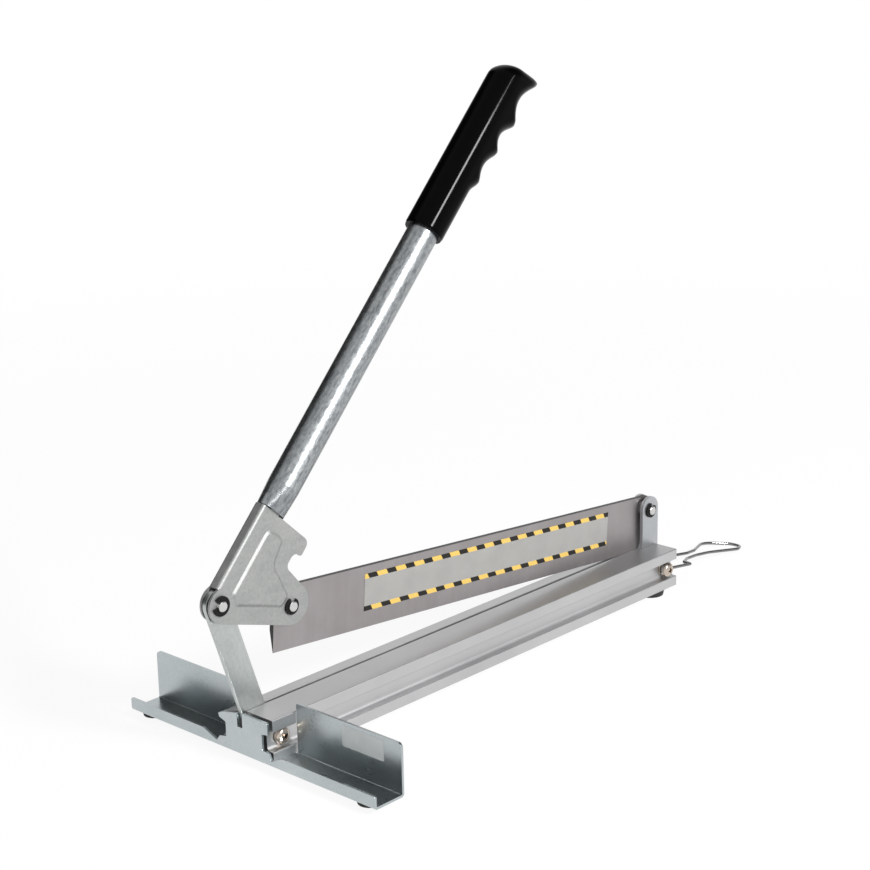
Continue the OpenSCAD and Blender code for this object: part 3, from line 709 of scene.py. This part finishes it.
floor_paint = Finish("pale floor", Roughness=0.9, Base_Color=(0.9, 0.9, 0.9))
floor_paint.set("Specular IOR Level", 0.1)
looks = floor_paint.node("ShaderNodeLightPath").socket.node.outputs
seen = Value(floor_paint, looks["Is Camera Ray"])
for other in ("Is Glossy Ray", "Is Transmission Ray"):
    seen = seen.math("MAXIMUM", Value(floor_paint, looks[other]))
at = floor_paint.place()
reach = floor_paint.node("ShaderNodeVectorMath", {"operation": "LENGTH"}, {0: at}, "Value")
share = seen * (FLOOR_GLOW + reach.above(*FAR_FLOOR) * (1 - FLOOR_GLOW))
white = floor_paint.node("ShaderNodeEmission", {}, {"Color": (1, 1, 1, 1), "Strength": 1.0})
paint = Value(floor_paint, floor_paint.shader.outputs[0])
both = floor_paint.node("ShaderNodeMixShader", {}, {0: share, 1: paint, 2: white})
floor_paint.plug(floor_paint.tree.nodes["Material Output"].inputs["Surface"], both)

shape = bmesh.new()
bmesh.ops.create_grid(shape, x_segments=1, y_segments=1, size=FLOOR_HALF)
floor = make("floor", shape)
floor.data.materials.append(floor_paint.material)
floor.location = (0, 0, cad_low.z)
print("the floor lies at", round(floor.location.z / MM, 2), "mm")

# %% [markdown]
# ## Lamps
#
# Bare metal shows mostly what stands round it, so each lamp is placed for its mirror image. A long
# narrow lamp to the right, parallel to the handle, draws the bright line on the tube and on the
# bracket's fold. A second, wider one hangs where the grip mirrors it, because the grip is so black
# that it needs a stronger lamp for its thin line.

# %% Lamps
TUBE_MIDDLE = (110, 0, 150)
TUBE_LINE = Vector((math.cos(HANDLE_ANGLE), 0, math.sin(HANDLE_ANGLE)))


def lamp(name, toward, far, size, power):
    """Looks back at the tube from a direction, far in metres, its second side along the tube."""
    data = bpy.data.lights.new(name, "AREA")
    data.shape, data.size, data.size_y = "RECTANGLE", *size
    data.energy = power
    made = bpy.data.objects.new(name, data)
    back = Vector(toward).normalized()
    side = TUBE_LINE.cross(back).normalized()
    up = back.cross(side)
    turned = Matrix((side, up, back)).transposed().to_4x4()
    made.matrix_world = Matrix.Translation(place(*TUBE_MIDDLE) + back * far) @ turned
    bpy.context.scene.collection.objects.link(made)
    print(name, power, "W")


lamp("strip lamp", toward=(-0.004, -0.876, 0.482), far=1.9, size=(0.08, 1.3), power=11)
lamp("grip lamp", toward=(0.045, -0.856, 0.515), far=1.84, size=(0.27, 0.32), power=29)

# %% [markdown]
# ## The room
#
# A room that is white all round would leave the metal flat. So it is white in front of the tool and
# below it, and dark in two places, where a studio would hang a black cloth and a black flag. The
# cloth at the back left gives the tube and the fence their dark sides. The flag high above the far
# end keeps the blade's foil and the grip from turning grey. The camera itself sees plain white.

# %% Room
CLOTH_ANGLE = math.radians(112)
CLOTH = (math.cos(CLOTH_ANGLE), math.sin(CLOTH_ANGLE), 0)
FLAG = (0.68, -0.24, 0.69)
WALLS, CLOTH_DARK, CEILING_DARK, FLAG_DARK = 0.95, 0.90, 0.25, 0.7
# where each begins, as a share of the way towards its middle, and how softly
CLOTH_EDGE, CEILING_EDGE, FLAG_EDGE = (0.62, 0.2), (0.75, 0.5), (0.80, 0.24)

studio = bpy.data.worlds.new("studio")
studio.use_nodes = True
bpy.context.scene.world = studio
room = Nodes(studio.node_tree)
x, y, z = room.split(room.node("ShaderNodeTexCoord", output="Generated"))
toward_cloth, toward_flag = (x * side[0] + y * side[1] + z * side[2] for side in (CLOTH, FLAG))
cloth = toward_cloth.above(*CLOTH_EDGE)
flag = toward_flag.above(*FLAG_EDGE)
ceiling = z.above(*CEILING_EDGE) * (1 - cloth)
level = WALLS - cloth * CLOTH_DARK - ceiling * CEILING_DARK - flag * FLAG_DARK
camera_ray = room.node("ShaderNodeLightPath", output="Is Camera Ray")
colour = room.mix(camera_ray, room.mix(level, (0, 0, 0), (1, 1, 1)), (1, 1, 1))
room.plug(room.tree.nodes["Background"].inputs["Color"], colour)
bpy.context.scene.view_settings.view_transform = "Standard"
print("the room has", len(room.tree.nodes), "nodes")
